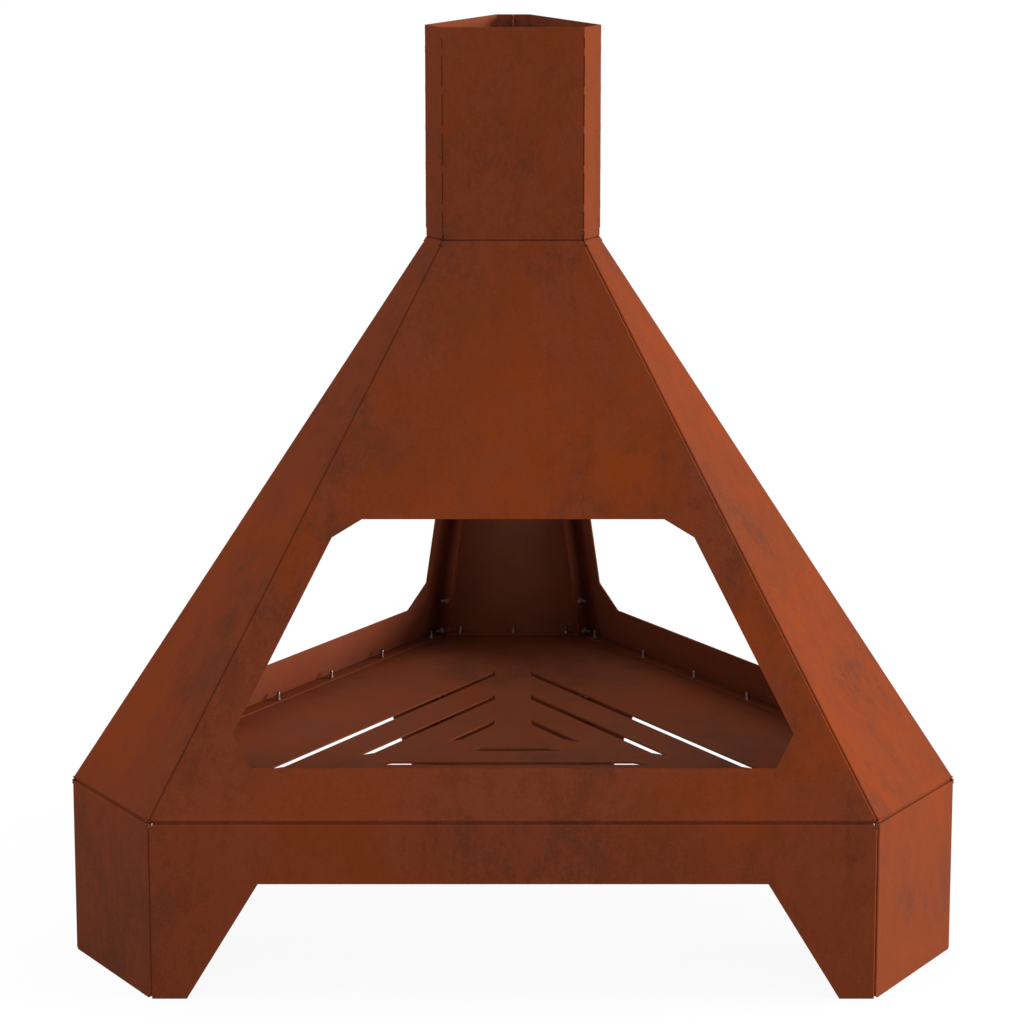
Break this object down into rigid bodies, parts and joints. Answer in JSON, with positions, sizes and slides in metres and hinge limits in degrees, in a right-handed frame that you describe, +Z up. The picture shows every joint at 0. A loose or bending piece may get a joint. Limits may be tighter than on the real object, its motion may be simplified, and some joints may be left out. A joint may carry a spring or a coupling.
{
  "type": "brazier",
  "caption": "Three-sided outdoor fireplace of folded weathering steel: legged base, slotted fire plate, leaning hood with chamfered openings, and a hexagonal chimney.",
  "frame": {"origin": "on the ground, at the middle of the outer box's plan", "axes": "+Z up along the chimney, -Y out of the front wide side, +X to the right seen from the front"},
  "size_m": [1.2526, 1.086, 1.3043],
  "materials": {
    "panel_steel": "matt brown-orange rust of weathering steel",
    "plate_steel": "matt brown rust of weathering steel",
    "bolt_steel": "bright zinc-plated steel"
  },
  "bodies": {
    "root": {"base_front_panel": "panel_steel", "base_right_panel": "panel_steel", "base_left_panel": "panel_steel", "hood_front_panel": "panel_steel", "hood_right_panel": "panel_steel", "hood_left_panel": "panel_steel", "base_back_corner": "panel_steel", "base_right_corner": "panel_steel", "base_left_corner": "panel_steel", "hood_back_corner": "panel_steel", "hood_right_corner": "panel_steel", "hood_left_corner": "panel_steel", "fire_plate": "plate_steel", "chimney": "panel_steel", "rim_bolt_01": "bolt_steel", "rim_bolt_02": "bolt_steel", "rim_bolt_03": "bolt_steel", "rim_bolt_04": "bolt_steel", "rim_bolt_05": "bolt_steel", "rim_bolt_06": "bolt_steel", "rim_bolt_07": "bolt_steel", "rim_bolt_08": "bolt_steel", "rim_bolt_09": "bolt_steel", "rim_bolt_10": "bolt_steel", "rim_bolt_11": "bolt_steel", "rim_bolt_12": "bolt_steel", "rim_bolt_13": "bolt_steel", "rim_bolt_14": "bolt_steel", "rim_bolt_15": "bolt_steel", "rim_bolt_16": "bolt_steel", "rim_bolt_17": "bolt_steel", "rim_bolt_18": "bolt_steel", "rim_bolt_19": "bolt_steel", "rim_bolt_20": "bolt_steel", "rim_bolt_21": "bolt_steel", "rim_bolt_22": "bolt_steel", "rim_bolt_23": "bolt_steel", "rim_bolt_24": "bolt_steel", "rim_bolt_25": "bolt_steel", "rim_bolt_26": "bolt_steel", "rim_bolt_27": "bolt_steel", "rim_bolt_28": "bolt_steel", "rim_bolt_29": "bolt_steel", "rim_bolt_30": "bolt_steel", "base_seam_bolt_01": "bolt_steel", "base_seam_bolt_02": "bolt_steel", "base_seam_bolt_03": "bolt_steel", "base_seam_bolt_04": "bolt_steel", "base_seam_bolt_05": "bolt_steel", "base_seam_bolt_06": "bolt_steel", "base_seam_bolt_07": "bolt_steel", "base_seam_bolt_08": "bolt_steel", "base_seam_bolt_09": "bolt_steel", "base_seam_bolt_10": "bolt_steel", "base_seam_bolt_11": "bolt_steel", "base_seam_bolt_12": "bolt_steel", "chimney_joint_bolt_01": "bolt_steel", "chimney_joint_bolt_02": "bolt_steel", "chimney_joint_bolt_03": "bolt_steel"}
  },
  "joints": []
}
